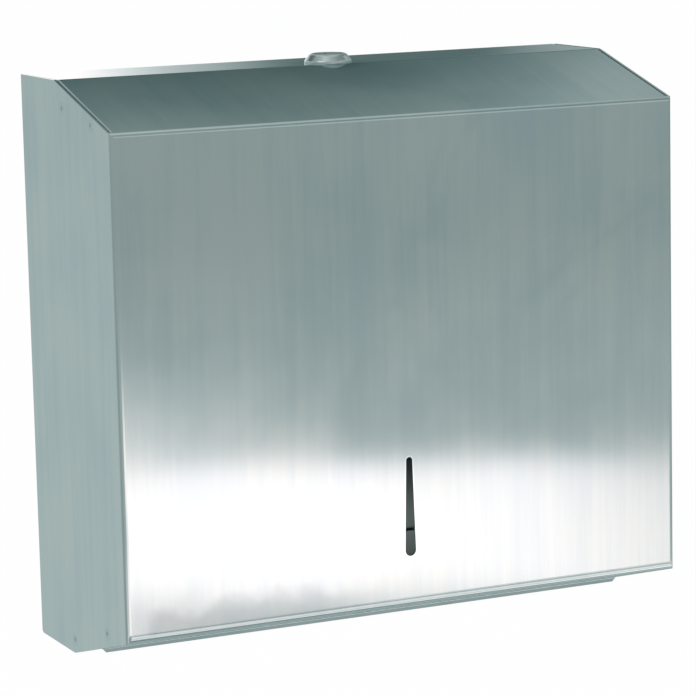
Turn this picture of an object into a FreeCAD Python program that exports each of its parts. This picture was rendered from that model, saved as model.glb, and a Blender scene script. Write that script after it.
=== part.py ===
import FreeCAD, Part
import math
import os

# Wall-hung dispenser for folded paper towels, in folded stainless sheet.
# Millimetres. X runs to the right, Y towards the wall and Z up. The origin is on the wall plane, in the
# middle of the four screw holes. Depths are measured from the wall plane towards the front (depth = -Y).

# Cover: outer sizes
cover_width = 280.0
cover_depth = 111.0
front_height = 224.5
slope_drop = 19.25
flat_depth = 44.5
cover_sheet = 1.0
cover_bend = 2.5
ridge_bend = 6.0
cover_wall_gap = 0.8

# Cover: flanges turned down inside the sides and welded there
weld_flange_height = 12.0
weld_flange_notch = 0.5
seam_bend = 1.5

# Cover: level slot in the front
slot_low = 23.0
slot_high = 69.0
slot_width_low = 5.5
slot_width_high = 3.0
slot_end_flat = 0.2

# Cover: opening in the underside and the lip at its front edge
opening_side_strip = 5.0
opening_back = 18.0
lip_depth = 65.0
lip_drop = 2.0
lip_end_gap = 0.6
lip_bend = 0.5

# Back plate
back_sheet = 1.0
side_clearance = 0.5
top_flange_depth = 18.0
top_flange_gap = 1.5
back_bend = 1.0
screw_spacing_x = 180.0
screw_spacing_z = 150.0
screw_hole_radius = 3.0

# Towel guides
guide_sheet = 1.0
guide_depth = 60.0
guide_top = 118.0
guide_foot_width = 22.0
guide_corner = 10.0
guide_bend = 1.0

# Towel tray
tray_sheet = 1.0
tray_rise = 6.5
tray_cover_gap = 1.5
tray_front_gap = 7.0
tray_wall_top = -105.0
tray_bend = 1.0
tray_corner_relief = 2.0
mouth_length = 190.0
mouth_width = 32.0
mouth_depth = 38.0
mouth_rim_drop = 4.3
mouth_rim_bend = 2.0

# Rivets
rivet_radius = 1.6
rivet_head_radius = 2.8
rivet_head_height = 0.9
rivet_crown_radius = 1.8
rivet_rim_height = 0.3
rivet_tail_radius = 2.4
rivet_tail_height = 0.7
tray_rivet_depths = (20.0, 50.0)
tray_rivet_height = -110.5
strike_rivet_spacing = 7.0
strike_rivet_depth = 9.5

# Piano hinge
pin_radius = 1.1
pin_clearance = 0.05
hinge_sheet = 0.9
hinge_end_gap = 6.0
knuckle_count = 13
knuckle_gap = 0.3
knuckle_notch = 0.3
wall_leaf_height = 15.0
cover_leaf_depth = 11.5
curl_slit = 0.25

# Lock strike
strike_sheet = 1.5
strike_low_x = 12.0
strike_high_x = 26.0
strike_back = 4.0
strike_web_depth = 17.5
strike_arm_drop = 10.5
strike_tip_reach = 6.1
strike_bend = 0.8
strike_cam_gap = 0.5

# Lock
lock_ridge_gap = 1.0
head_radius = 11.0
head_height = 4.3
head_rim_height = 1.0
head_face_radius = 8.6
head_rim_round = 1.5
head_shoulder = 3.0
cap_sheet = 0.5
cap_hole_radius = 6.2
cap_clearance = 0.05
barrel_radius = 8.0
barrel_across_flats = 14.0
barrel_length = 18.0
barrel_hole_clearance = 0.2
plug_radius = 5.9
plug_clearance = 0.05
plug_shoulder = 0.2
keyway_width = 1.8
keyway_length = 8.0
keyway_depth = 12.0
shank_across = 7.0
shank_clearance = 0.05
lock_washer_radius = 10.0
lock_washer_sheet = 0.8
lock_washer_teeth = 12
lock_washer_tooth_gap = 1.2
lock_washer_tooth_height = 1.0
lock_nut_across = 22.0
lock_nut_height = 3.5
nut_clearance = 0.05
stop_sheet = 1.2
stop_radius = 7.6
stop_tab_width = 3.0
stop_tab_rise = 1.3
stop_tab_sheet = 1.2
stop_notch_play = 2.5
lock_turn = 90.0
cam_sheet = 2.0
cam_length = 24.0
cam_half_width = 6.0
cam_hub_radius = 7.5
cam_corner = 2.0
cam_washer_radius = 5.0
cam_washer_sheet = 0.8
cam_screw_radius = 1.9
cam_screw_length = 12.0
cam_screw_head_radius = 3.6
cam_screw_head_height = 2.4
cam_screw_bevel = 0.7
screw_slot_width = 1.0
screw_slot_depth = 1.0
screw_hole_clearance = 0.1

# Worked out from the sizes above
half_width = cover_width / 2
front_half = front_height / 2
cover_top = front_half + slope_drop
slope_rate = slope_drop / (cover_depth - flat_depth)
slope_angle = math.atan(slope_rate)
knuckle_radius = pin_radius + pin_clearance + hinge_sheet
pin_depth = back_sheet + knuckle_radius
pin_rise = cover_sheet + knuckle_radius
pin_height = pin_rise - cover_top
inner_half_width = half_width - 2 * cover_sheet - side_clearance
opening_half_width = half_width - opening_side_strip
lip_half_width = opening_half_width - lip_end_gap
tray_front_depth = cover_depth - cover_sheet - tray_front_gap
hinge_half_length = half_width - hinge_end_gap
lock_seat = cover_top - cover_sheet
lock_depth = flat_depth - lock_ridge_gap - lock_washer_radius
beyond = 5.0


# Height of the cover's sloping top at a depth, drawn in from the outer face by an inset.
def slope_height(depth, inset):
    return front_half + (cover_depth - depth) * slope_rate - inset / math.cos(slope_angle)


# Depth at which the sloping top, drawn in by an inset, reaches a height.
def slope_depth(height, inset):
    return cover_depth - (height + inset / math.cos(slope_angle) - front_half) / slope_rate


# Side view: depth and height, at a given X.
def side_place(x):
    return lambda depth, height: FreeCAD.Vector(x, -depth, height)


# View from above: X and depth, at a given height.
def plan_place(height):
    return lambda x, depth: FreeCAD.Vector(x, -depth, height)


# View from the front: X and height, at a given depth.
def front_place(depth):
    return lambda x, height: FreeCAD.Vector(x, -depth, height)


# Closed face through corner points, each rounded to its own radius (0 leaves it sharp).
def rounded_face(corners, radii, place):
    count = len(corners)
    flat = [FreeCAD.Vector(a, b, 0) for a, b in corners]
    stops = []
    for i in range(count):
        corner = flat[i]
        back = (flat[i - 1] - corner).normalize()
        ahead = (flat[(i + 1) % count] - corner).normalize()
        half = back.getAngle(ahead) / 2
        reach = radii[i] / math.tan(half)
        inward = (back + ahead).normalize() if radii[i] else FreeCAD.Vector()
        middle = corner + inward * (radii[i] / math.sin(half) - radii[i])
        stops.append((corner + back * reach, middle, corner + ahead * reach))
    edges = []
    for i in range(count):
        start, middle, end = [place(v.x, v.y) for v in stops[i]]
        after = place(stops[(i + 1) % count][0].x, stops[(i + 1) % count][0].y)
        if radii[i]:
            edges.append(Part.Arc(start, middle, end).toShape())
        edges.append(Part.LineSegment(end, after).toShape())
    return Part.Face(Part.Wire(edges))


# Solid with an outline in side view, from one X to another.
def side_prism(corners, radii, low_x, high_x):
    return rounded_face(corners, radii, side_place(low_x)).extrude(FreeCAD.Vector(high_x - low_x, 0, 0))


# Solid with an outline in the view from above, from one height to another.
def plan_prism(corners, radii, low, high):
    return rounded_face(corners, radii, plan_place(low)).extrude(FreeCAD.Vector(0, 0, high - low))


# Solid with an outline in the view from the front, from one depth to another.
def front_prism(corners, radii, near, far):
    return rounded_face(corners, radii, front_place(near)).extrude(FreeCAD.Vector(0, near - far, 0))


# Box between two corners given as X, depth and height.
def block(low, high):
    size = (high[0] - low[0], high[1] - low[1], high[2] - low[2])
    return Part.makeBox(size[0], size[1], size[2], FreeCAD.Vector(low[0], -high[1], low[2]))


# Upright cylinder round the lock's axis.
def upright(radius, low, high):
    return Part.makeCylinder(radius, high - low, FreeCAD.Vector(0, -lock_depth, low))


# Both faces of a folded sheet in one outline. The path follows one face and the sheet lies on its right.
def sheet_outline(path, sheet, bend):
    points = [FreeCAD.Vector(a, b, 0) for a, b in path]
    directions = [(points[i + 1] - points[i]).normalize() for i in range(len(points) - 1)]
    rights = [FreeCAD.Vector(d.y, -d.x, 0) for d in directions]
    far = [points[0] + rights[0] * sheet]
    near_radii = [0]
    far_radii = [0]
    for i in range(1, len(points) - 1):
        mean = (rights[i - 1] + rights[i]).normalize()
        far.append(points[i] + mean * (sheet / mean.dot(rights[i])))
        turns_right = directions[i - 1].cross(directions[i]).z < 0
        near_radii.append(bend + sheet if turns_right else bend)
        far_radii.append(bend if turns_right else bend + sheet)
    far.append(points[-1] + rights[-1] * sheet)
    near_radii.append(0)
    far_radii.append(0)
    outline = [(p.x, p.y) for p in points + far[::-1]]
    return outline, near_radii + far_radii[::-1]


# A shape and its mirror image on the other side of the middle plane.
def both_sides(shape):
    return [shape, shape.mirror(FreeCAD.Vector(), FreeCAD.Vector(1, 0, 0))]


# A shape turned upside down, for the underside.
def below(shape):
    return shape.mirror(FreeCAD.Vector(), FreeCAD.Vector(0, 0, 1))


# Six-cornered side view of the cover, drawn in by an inset from its outer face.
def cover_outline(inset, back):
    top = cover_top - inset
    front = cover_depth - inset
    ridge = slope_depth(top, inset)
    edge = slope_height(front, inset)
    corners = [(back, top), (ridge, top), (front, edge), (front, -edge), (ridge, -top), (back, -top)]
    radii = [0, ridge_bend - inset, cover_bend - inset, cover_bend - inset, ridge_bend - inset, 0]
    return corners, radii


# The cover's outer or inner form: side view and plan view cut together, which rounds its front corners.
def cover_form(inset, back):
    corners, radii = cover_outline(inset, back)
    half = half_width - inset
    bend = cover_bend - inset
    side = side_prism(corners, radii, -half_width, half_width)
    plan_corners = [(-half, back), (-half, cover_depth - inset), (half, cover_depth - inset), (half, back)]
    plan = plan_prism(plan_corners, [0, bend, bend, 0], -cover_top, cover_top)
    return side.common(plan)


# Flanges along the upper right edge: one under the slope and one under the level top, notched at the ridge.
def weld_flanges():
    reach = cover_sheet + weld_flange_height
    near = flat_depth + weld_flange_notch
    far = cover_depth - cover_bend
    under = cover_sheet / 2
    slope = [(near, slope_height(near, under)), (far, slope_height(far, under))]
    slope += [(far, slope_height(far, reach)), (near, slope_height(near, reach))]
    level_start = pin_depth + knuckle_radius + knuckle_notch
    level_end = flat_depth - weld_flange_notch
    level = [(level_start, cover_top - under), (level_end, cover_top - under)]
    level += [(level_end, cover_top - reach), (level_start, cover_top - reach)]
    low_x = half_width - 2 * cover_sheet
    high_x = half_width - cover_sheet / 2
    return [side_prism(corners, [0] * 4, low_x, high_x) for corners in (slope, level)]


# Groove beside the upper right edge, where a flange's bend curves down from the side panel's raw edge.
def seam_groove(start, end):
    along = FreeCAD.Vector(0, start[0] - end[0], end[1] - start[1])
    length = along.Length
    along.normalize()
    outward = FreeCAD.Vector(0, -along.z, along.y)
    if outward.z < 0:
        outward = outward * -1
    edge_x = half_width - cover_sheet
    base = FreeCAD.Vector(edge_x, -start[0], start[1])
    across = FreeCAD.Vector(-1, 0, 0)
    surface = base + outward * (seam_bend / 2)
    bottom = base - outward * seam_bend
    inner = base + across * seam_bend
    centre = inner - outward * seam_bend
    middle = centre + (outward - across).normalize() * seam_bend
    inner_surface = inner + outward * (seam_bend / 2)
    edges = [
        Part.LineSegment(surface, bottom).toShape(),
        Part.Arc(bottom, middle, inner).toShape(),
        Part.LineSegment(inner, inner_surface).toShape(),
        Part.LineSegment(inner_surface, surface).toShape(),
    ]
    return Part.Face(Part.Wire(edges)).extrude(along * length)


# Turned-down lip at the front edge of the opening in the underside, with its ends cut back at 45 degrees.
def opening_lip():
    joined = lip_depth + beyond
    back = lip_depth - cover_sheet
    drop = -slope_height(lip_depth, 0) - lip_drop
    under = cover_sheet
    outer = [(joined, -slope_height(joined, 0)), (lip_depth, -slope_height(lip_depth, 0)), (lip_depth, drop)]
    inner = [(back, drop), (back, -slope_height(back, under)), (joined, -slope_height(joined, under))]
    radii = [0, lip_bend, 0, 0, lip_bend + cover_sheet, 0]
    lip = side_prism(outer + inner, radii, -lip_half_width, lip_half_width)
    trim_corners = [(lip_half_width - lip_drop, drop), (lip_half_width + beyond, drop + lip_drop + beyond)]
    trim_corners += [(lip_half_width + beyond, drop - beyond), (lip_half_width - lip_drop, drop - beyond)]
    trim = front_prism(trim_corners, [0] * 4, back - beyond, joined + beyond)
    return lip.cut(both_sides(trim))


# Double-D hole or barrel, flat on its left and right.
def double_d(radius, across, low, high):
    flats = block((-across / 2, lock_depth - radius, low), (across / 2, lock_depth + radius, high))
    return upright(radius, low, high).common(flats)


def make_front_cover():
    shell = cover_form(0, cover_wall_gap).cut(cover_form(cover_sheet, -beyond))
    flanges = []
    grooves = []
    ridge = (flat_depth, cover_top)
    groove_end = cover_depth - cover_bend
    overlap = seam_bend * math.tan(slope_angle / 2)
    for shape in weld_flanges():
        for upper in both_sides(shape):
            flanges += [upper, below(upper)]
    slope_start = (flat_depth - overlap, slope_height(flat_depth - overlap, 0))
    slope_end = (groove_end, slope_height(groove_end, 0))
    level_end = (flat_depth + overlap, cover_top)
    for start, end in ((slope_start, slope_end), ((-beyond, cover_top), level_end)):
        for upper in both_sides(seam_groove(start, end)):
            grooves += [upper, below(upper)]
    shell = shell.fuse(flanges).removeSplitter()
    hinge_edge = pin_depth + knuckle_radius + 2 * knuckle_notch
    strip = block((cover_sheet - half_width, -beyond, -cover_top - beyond),
                  (half_width - cover_sheet, hinge_edge, pin_height - knuckle_radius))
    corner = block((-half_width - beyond, -beyond, -cover_top - beyond),
                   (half_width + beyond, pin_depth, pin_height))
    swing_start = FreeCAD.Vector(-half_width - 2 * beyond, -pin_depth, pin_height)
    swing_length = cover_width + 4 * beyond
    swing = Part.makeCylinder(pin_rise, swing_length, swing_start, FreeCAD.Vector(1, 0, 0))
    opening_front = lip_depth - cover_sheet / 2
    opening_high = -slope_height(lip_depth, 2 * cover_sheet)
    opening = block((-opening_half_width, opening_back, -cover_top - beyond),
                    (opening_half_width, opening_front, opening_high))
    slot_bottom = slot_low - front_half
    slot_top = slot_high - front_half
    slot_corners = [(-slot_width_low / 2, slot_bottom), (slot_width_low / 2, slot_bottom)]
    slot_corners += [(slot_width_high / 2, slot_top), (-slot_width_high / 2, slot_top)]
    low_radius = (slot_width_low - slot_end_flat) / 2
    high_radius = (slot_width_high - slot_end_flat) / 2
    slot = front_prism(slot_corners, [low_radius, low_radius, high_radius, high_radius],
                       cover_depth - 2 * cover_sheet, cover_depth + beyond)
    hole = double_d(barrel_radius + barrel_hole_clearance, barrel_across_flats + 2 * barrel_hole_clearance,
                    lock_seat - beyond, cover_top + beyond)
    for cutter in grooves + [strip, corner.cut(swing), opening, slot, hole]:
        shell = shell.cut(cutter)
    return shell.fuse(opening_lip()).removeSplitter()


def make_back_plate():
    top = lock_seat - top_flange_gap
    bottom = pin_height + knuckle_radius + knuckle_notch
    path = [(0, bottom), (0, top), (top_flange_depth, top)]
    outline, radii = sheet_outline(path, back_sheet, back_bend)
    plate = side_prism(outline, radii, -inner_half_width, inner_half_width)
    holes = []
    for x in (-screw_spacing_x / 2, screw_spacing_x / 2):
        for z in (-screw_spacing_z / 2, screw_spacing_z / 2):
            start = FreeCAD.Vector(x, beyond, z)
            length = 2 * beyond + back_sheet
            holes.append(Part.makeCylinder(screw_hole_radius, length, start, FreeCAD.Vector(0, -1, 0)))
    for x in strike_rivet_places():
        start = FreeCAD.Vector(x, -strike_rivet_depth, top - beyond)
        holes.append(Part.makeCylinder(rivet_radius, 2 * beyond, start))
    return plate.cut(holes)


def make_towel_guide():
    foot_face = back_sheet
    path = [(inner_half_width - guide_foot_width, foot_face), (inner_half_width, foot_face),
            (inner_half_width, guide_depth)]
    outline, radii = sheet_outline([(x, -d) for x, d in path], guide_sheet, guide_bend)
    corners = [(x, -negative) for x, negative in outline]
    low = tray_floor() + tray_sheet + guide_bend + tray_bend
    angle = plan_prism(corners, radii, low, guide_top)
    wall_corners = [(0, low), (guide_depth, low), (guide_depth, guide_top), (0, guide_top)]
    wall = side_prism(wall_corners, [0, guide_corner, guide_corner, 0], 0, half_width)
    foot_end = tray_wall_top + tray_bend
    foot_cut = block((0, 0, low - beyond), (half_width, back_sheet + guide_sheet + guide_bend, foot_end))
    return angle.common(wall).cut([foot_cut] + tray_rivet_holes())


# Lower face of the tray's floor.
def tray_floor():
    return tray_rise - cover_top


# Lower face of the tray's sloping front at a depth, clear of the cover's sloping underside.
def tray_slope(depth):
    return -slope_height(depth, cover_sheet + tray_cover_gap)


def tray_rivet_holes():
    shapes = []
    for depth in tray_rivet_depths:
        start = FreeCAD.Vector(inner_half_width - 3 * tray_sheet, -depth, tray_rivet_height)
        shapes.append(Part.makeCylinder(rivet_radius, 4 * tray_sheet, start, FreeCAD.Vector(1, 0, 0)))
    return shapes


def make_towel_tray():
    back = back_sheet + hinge_sheet
    floor = tray_floor()
    turn = slope_depth(-floor, cover_sheet + tray_cover_gap)
    front_low = tray_slope(tray_front_depth)
    outer_x = inner_half_width - guide_sheet
    strip_x = outer_x - tray_sheet - tray_corner_relief
    path = [(tray_front_depth, tray_wall_top), (tray_front_depth, front_low), (turn, floor), (back, floor),
            (back, tray_wall_top)]
    outline, radii = sheet_outline(path, tray_sheet, tray_bend)
    strip = side_prism(outline, radii, -strip_x, strip_x)
    start = back + tray_sheet + tray_bend
    end = tray_front_depth - tray_sheet - tray_bend
    section = [(-outer_x, tray_wall_top - floor), (-outer_x, 0), (outer_x, 0), (outer_x, tray_wall_top - floor)]
    mirrored = [(x, -z) for x, z in section]
    trough_outline, trough_radii = sheet_outline(mirrored, tray_sheet, tray_bend)
    trough_corners = [(x, floor - negative) for x, negative in trough_outline]
    level = front_prism(trough_corners, trough_radii, start, turn + beyond)
    tilt = math.degrees(slope_angle)
    slope = front_prism(trough_corners, trough_radii, turn - beyond, tray_front_depth + beyond)
    slope.rotate(FreeCAD.Vector(0, -turn, floor), FreeCAD.Vector(1, 0, 0), -tilt)
    bisector_tilt = slope_angle / 2
    rise = tray_wall_top - floor + 2 * beyond
    lean = rise * math.tan(bisector_tilt)
    sink = beyond * math.tan(bisector_tilt)
    bend_line = [(turn + sink, floor - beyond), (turn - lean, floor + rise)]
    halves = []
    for limit in (0, end):
        corners = [(limit, floor - beyond)] + bend_line + [(limit, floor + rise)]
        halves.append(side_prism(corners, [0] * 4, -half_width, half_width))
    behind, ahead = halves
    cap = block((-half_width, 0, tray_wall_top), (half_width, cover_depth, tray_wall_top + 4 * beyond))
    trough = level.common(behind).fuse(slope.common(ahead)).cut(cap)
    tray = strip.fuse(trough).removeSplitter()
    rim_low = floor - mouth_rim_drop
    rim = stadium(mouth_length + 2 * tray_sheet, mouth_width + 2 * tray_sheet, rim_low, floor + tray_sheet)
    mouth = stadium(mouth_length, mouth_width, rim_low - beyond, floor + tray_sheet + beyond)
    tray = tray.fuse(rim).cut(mouth).removeSplitter()
    return round_mouth(tray, floor).cut([hole for shape in tray_rivet_holes() for hole in both_sides(shape)])


# Straight slot with round ends, lying along X round the mouth's middle.
def stadium(length, width, low, high):
    straight = (length - width) / 2
    near = mouth_depth - width / 2
    far = mouth_depth + width / 2
    middle = block((-straight, near, low), (straight, far, high))
    end = Part.makeCylinder(width / 2, high - low, FreeCAD.Vector(straight, -mouth_depth, low))
    return middle.fuse(both_sides(end)).removeSplitter()


# Edges of the tray that run round the mouth at one height.
def mouth_edges(tray, height):
    edges = []
    for edge in tray.Edges:
        box = edge.BoundBox
        near = box.YMax < mouth_width - mouth_depth and box.YMin > -mouth_width - mouth_depth
        near = near and max(-box.XMin, box.XMax) < mouth_length / 2 + 2 * tray_sheet
        if near and abs(box.ZMin - height) < 0.01 and box.ZLength < 0.01:
            edges.append(edge)
    return edges


# The mouth's rim curves down out of the floor, as wide below as above, so that towels slide over a round edge.
def round_mouth(tray, floor):
    tray = tray.makeFillet(mouth_rim_bend - tray_sheet, mouth_edges(tray, floor))
    return tray.makeFillet(mouth_rim_bend, mouth_edges(tray, floor + tray_sheet))


# Rivet through two sheets along X, domed head inside and flat tail outside.
def make_tray_rivets():
    inner = inner_half_width - guide_sheet - tray_sheet
    outer = inner_half_width
    shapes = []
    for depth in tray_rivet_depths:
        base = FreeCAD.Vector(inner, -depth, tray_rivet_height)
        along = FreeCAD.Vector(1, 0, 0)
        shapes += both_sides(rivet(base, along, outer - inner))
    return Part.Compound(shapes)


# One rivet: shank from a seat along a direction, bevelled head before the seat and flat tail past the grip.
def rivet(seat, along, grip):
    end = grip + rivet_tail_height
    outline = [(0, -rivet_head_height), (rivet_crown_radius, -rivet_head_height)]
    outline += [(rivet_head_radius, -rivet_rim_height), (rivet_head_radius, 0), (rivet_radius, 0)]
    outline += [(rivet_radius, grip), (rivet_tail_radius, grip), (rivet_tail_radius, end), (0, end)]
    points = [FreeCAD.Vector(radius, 0, height) for radius, height in outline]
    face = Part.Face(Part.makePolygon(points + points[:1]))
    shape = face.revolve(FreeCAD.Vector(), FreeCAD.Vector(0, 0, 1), 360)
    shape.Placement = FreeCAD.Placement(seat, FreeCAD.Rotation(FreeCAD.Vector(0, 0, 1), along))
    return shape


def strike_rivet_places():
    middle = (strike_low_x + strike_high_x) / 2
    return (middle - strike_rivet_spacing / 2, middle + strike_rivet_spacing / 2)


def make_strike_rivets():
    top = lock_seat - top_flange_gap
    shapes = []
    for x in strike_rivet_places():
        seat = FreeCAD.Vector(x, -strike_rivet_depth, top - back_sheet - strike_sheet)
        shapes.append(rivet(seat, FreeCAD.Vector(0, 0, 1), back_sheet + strike_sheet))
    return Part.Compound(shapes)


def make_lock_strike():
    top = lock_seat - top_flange_gap - back_sheet
    web = strike_web_depth + strike_sheet
    arm = top - strike_arm_drop
    tip = lock_depth + cam_half_width + strike_cam_gap + strike_sheet
    path = [(strike_back, top), (web, top), (web, arm), (tip, arm), (tip, cam_low() - strike_tip_reach)]
    outline, radii = sheet_outline(path, strike_sheet, strike_bend)
    strike = side_prism(outline, radii, strike_low_x, strike_high_x)
    holes = []
    for x in strike_rivet_places():
        start = FreeCAD.Vector(x, -strike_rivet_depth, top - beyond)
        holes.append(Part.makeCylinder(rivet_radius, 2 * beyond, start))
    return strike.cut(holes)


# Left end and right end of each knuckle, every second one from the first given.
def knuckle_spans(first):
    pitch = 2 * hinge_half_length / knuckle_count
    spans = []
    for i in range(first, knuckle_count, 2):
        left = -hinge_half_length + i * pitch
        spans.append((left + knuckle_gap / 2, left + pitch - knuckle_gap / 2))
    return spans


# One rolled knuckle: the sheet curls round the pin and stops just short of its leaf, which lies ahead or above.
def knuckle(span, leaf_ahead):
    start = FreeCAD.Vector(span[0], -pin_depth, pin_height)
    along = FreeCAD.Vector(1, 0, 0)
    length = span[1] - span[0]
    outer = Part.makeCylinder(knuckle_radius, length, start, along)
    bore = Part.makeCylinder(pin_radius + pin_clearance, length, start, along)
    far = knuckle_radius - hinge_sheet
    near = far - curl_slit
    reach = knuckle_radius + curl_slit
    if leaf_ahead:
        slit = block((span[0], pin_depth, pin_height - far), (span[1], pin_depth + reach, pin_height - near))
    else:
        slit = block((span[0], pin_depth - far, pin_height), (span[1], pin_depth - near, pin_height + reach))
    return outer.cut([bore, slit])


def make_hinge_cover_leaf():
    low = pin_height - knuckle_radius
    start = pin_depth + knuckle_radius + knuckle_notch
    end = start + knuckle_notch + cover_leaf_depth
    leaf = block((-hinge_half_length, start, low), (hinge_half_length, end, low + hinge_sheet))
    pieces = []
    for span in knuckle_spans(1):
        pieces.append(knuckle(span, True))
        pieces.append(block((span[0], pin_depth, low), (span[1], end, low + hinge_sheet)))
    return leaf.fuse(pieces).removeSplitter()


def make_hinge_wall_leaf():
    near = pin_depth - knuckle_radius
    start = pin_height + knuckle_radius + knuckle_notch
    end = pin_height + wall_leaf_height
    leaf = block((-hinge_half_length, near, start), (hinge_half_length, near + hinge_sheet, end))
    pieces = []
    for span in knuckle_spans(0):
        pieces.append(knuckle(span, False))
        pieces.append(block((span[0], near, pin_height), (span[1], near + hinge_sheet, end)))
    return leaf.fuse(pieces).removeSplitter()


def make_hinge_pin():
    start = FreeCAD.Vector(-hinge_half_length, -pin_depth, pin_height)
    pin = Part.makeCylinder(pin_radius, 2 * hinge_half_length, start, FreeCAD.Vector(1, 0, 0))
    return pin.makeChamfer(pin_radius / 4, [e for e in pin.Edges if e.Closed])


# Solid turned round the lock's axis from an outline of radius and height.
def turned(corners, radii):
    face = rounded_face(corners, radii, lambda radius, height: FreeCAD.Vector(radius, -lock_depth, height))
    return face.revolve(FreeCAD.Vector(0, -lock_depth, 0), FreeCAD.Vector(0, 0, 1), 360)


# Outline of the lock's head: upright rim, cone and flat face, drawn in by an inset.
def head_outline(inset):
    rim = cover_top + head_rim_height - inset / 2
    face = cover_top + head_height - inset
    return [(head_radius - inset, rim), (head_face_radius - inset / 2, face)]


# Radii that round the head's rim and shoulder, drawn in by the same inset.
def head_radii(inset):
    return [head_rim_round - inset, head_shoulder - inset]


def make_lock_cap():
    outer = head_outline(0)
    inner = head_outline(cap_sheet)
    corners = [(head_radius, cover_top)] + outer + [(cap_hole_radius, outer[1][1])]
    corners += [(cap_hole_radius, inner[1][1])] + inner[::-1] + [(head_radius - cap_sheet, cover_top)]
    radii = [0] + head_radii(0) + [0, 0] + head_radii(cap_sheet)[::-1] + [0]
    return turned(corners, radii)


def make_lock_housing():
    inset = cap_sheet + cap_clearance
    head = head_outline(inset)
    bore = plug_radius + plug_clearance
    low = lock_seat - barrel_length
    corners = [(bore, cover_top), (head[0][0], cover_top)] + head + [(bore, head[1][1])]
    top = turned(corners, [0, 0] + head_radii(inset) + [0])
    barrel = double_d(barrel_radius, barrel_across_flats, low, cover_top)
    barrel = barrel.cut(upright(bore, low - beyond, cover_top + beyond))
    shape = top.fuse(barrel).removeSplitter()
    half_tab = math.degrees(math.asin(stop_tab_width / 2 / tab_middle_radius()))
    margin = half_tab + stop_notch_play
    upward = FreeCAD.Vector(0, 0, 1)
    foot = FreeCAD.Vector(0, -lock_depth, low - plug_shoulder)
    height = stop_tab_rise + plug_shoulder
    notch = Part.makeCylinder(barrel_radius + beyond, height, foot, upward, lock_turn + 2 * margin)
    notch.rotate(foot, upward, -lock_turn - margin)
    return shape.cut(notch)


# Middle radius of the stop tab, which points to the right at rest.
def tab_middle_radius():
    return stop_radius - stop_tab_sheet / 2


def make_lock_washer():
    low = lock_seat - lock_washer_sheet
    ring = upright(lock_washer_radius, low, lock_seat)
    ring = ring.cut(upright(barrel_radius + barrel_hole_clearance, low, lock_seat))
    root = lock_depth + lock_washer_radius - lock_washer_tooth_height
    notch = block((-lock_washer_tooth_gap / 2, root, low - beyond),
                  (lock_washer_tooth_gap / 2, root + beyond, lock_seat + beyond))
    notches = []
    for i in range(lock_washer_teeth):
        copy = notch.copy()
        copy.rotate(FreeCAD.Vector(0, -lock_depth, 0), FreeCAD.Vector(0, 0, 1), 360.0 * i / lock_washer_teeth)
        notches.append(copy)
    return ring.cut(notches)


def make_lock_nut():
    high = lock_seat - lock_washer_sheet
    low = high - lock_nut_height
    corner_radius = lock_nut_across / 2 / math.cos(math.pi / 6)
    corners = []
    for i in range(6):
        turn = i * math.pi / 3
        corners.append((corner_radius * math.cos(turn), lock_depth + corner_radius * math.sin(turn)))
    nut = plan_prism(corners, [0] * 6, low, high)
    flat_radius = lock_nut_across / 2
    bevel = (corner_radius - flat_radius) / 2
    corners = [(0, low), (flat_radius, low), (corner_radius, low + bevel), (corner_radius, high), (0, high)]
    hole = upright(barrel_radius + nut_clearance, low - beyond, high + beyond)
    return nut.common(turned(corners, [0] * 5)).cut(hole)


def make_lock_plug():
    low = lock_seat - barrel_length - plug_shoulder
    high = cover_top + head_height - cap_sheet
    shank_end = low - stop_sheet - cam_sheet + plug_shoulder
    half = shank_across / 2
    plug = upright(plug_radius, low, high)
    shank = block((-half, lock_depth - half, shank_end), (half, lock_depth + half, low))
    keyway = block((-keyway_width / 2, lock_depth - keyway_length / 2, high - keyway_depth),
                   (keyway_width / 2, lock_depth + keyway_length / 2, high + beyond))
    screw_end = cam_washer_low() + cam_screw_length + screw_hole_clearance
    screw_hole = upright(cam_screw_radius + screw_hole_clearance, shank_end - beyond, screw_end)
    return plug.fuse(shank).cut([keyway, screw_hole])


def cam_low():
    return lock_seat - barrel_length - plug_shoulder - stop_sheet - cam_sheet


def cam_washer_low():
    return cam_low() - cam_washer_sheet


# Square hole for the plug's shank.
def shank_hole(low, high):
    half = shank_across / 2 + shank_clearance
    return block((-half, lock_depth - half, low), (half, lock_depth + half, high))


def make_stop_washer():
    high = lock_seat - barrel_length - plug_shoulder
    low = high - stop_sheet
    disc = upright(stop_radius, low, high)
    half_tab = stop_tab_width / 2
    tab = block((stop_radius - stop_tab_sheet, lock_depth - half_tab, low),
                (stop_radius + stop_tab_sheet, lock_depth + half_tab, high + stop_tab_rise - plug_clearance))
    tab = tab.common(upright(stop_radius, low - beyond, high + beyond))
    return disc.fuse(tab).removeSplitter().cut(shank_hole(low - beyond, high + beyond))


def make_lock_cam():
    low = cam_low()
    high = low + cam_sheet
    tip = lock_depth - cam_length
    corners = [(-cam_half_width, lock_depth), (cam_half_width, lock_depth)]
    corners += [(cam_half_width, tip), (-cam_half_width, tip)]
    blade = plan_prism(corners, [0, 0, cam_corner, cam_corner], low, high)
    cam = blade.fuse(upright(cam_hub_radius, low, high)).removeSplitter()
    return cam.cut(shank_hole(low - beyond, high + beyond))


def make_cam_washer():
    low = cam_washer_low()
    hole = upright(cam_screw_radius + screw_hole_clearance, low - beyond, low + beyond)
    return upright(cam_washer_radius, low, low + cam_washer_sheet).cut(hole)


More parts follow.
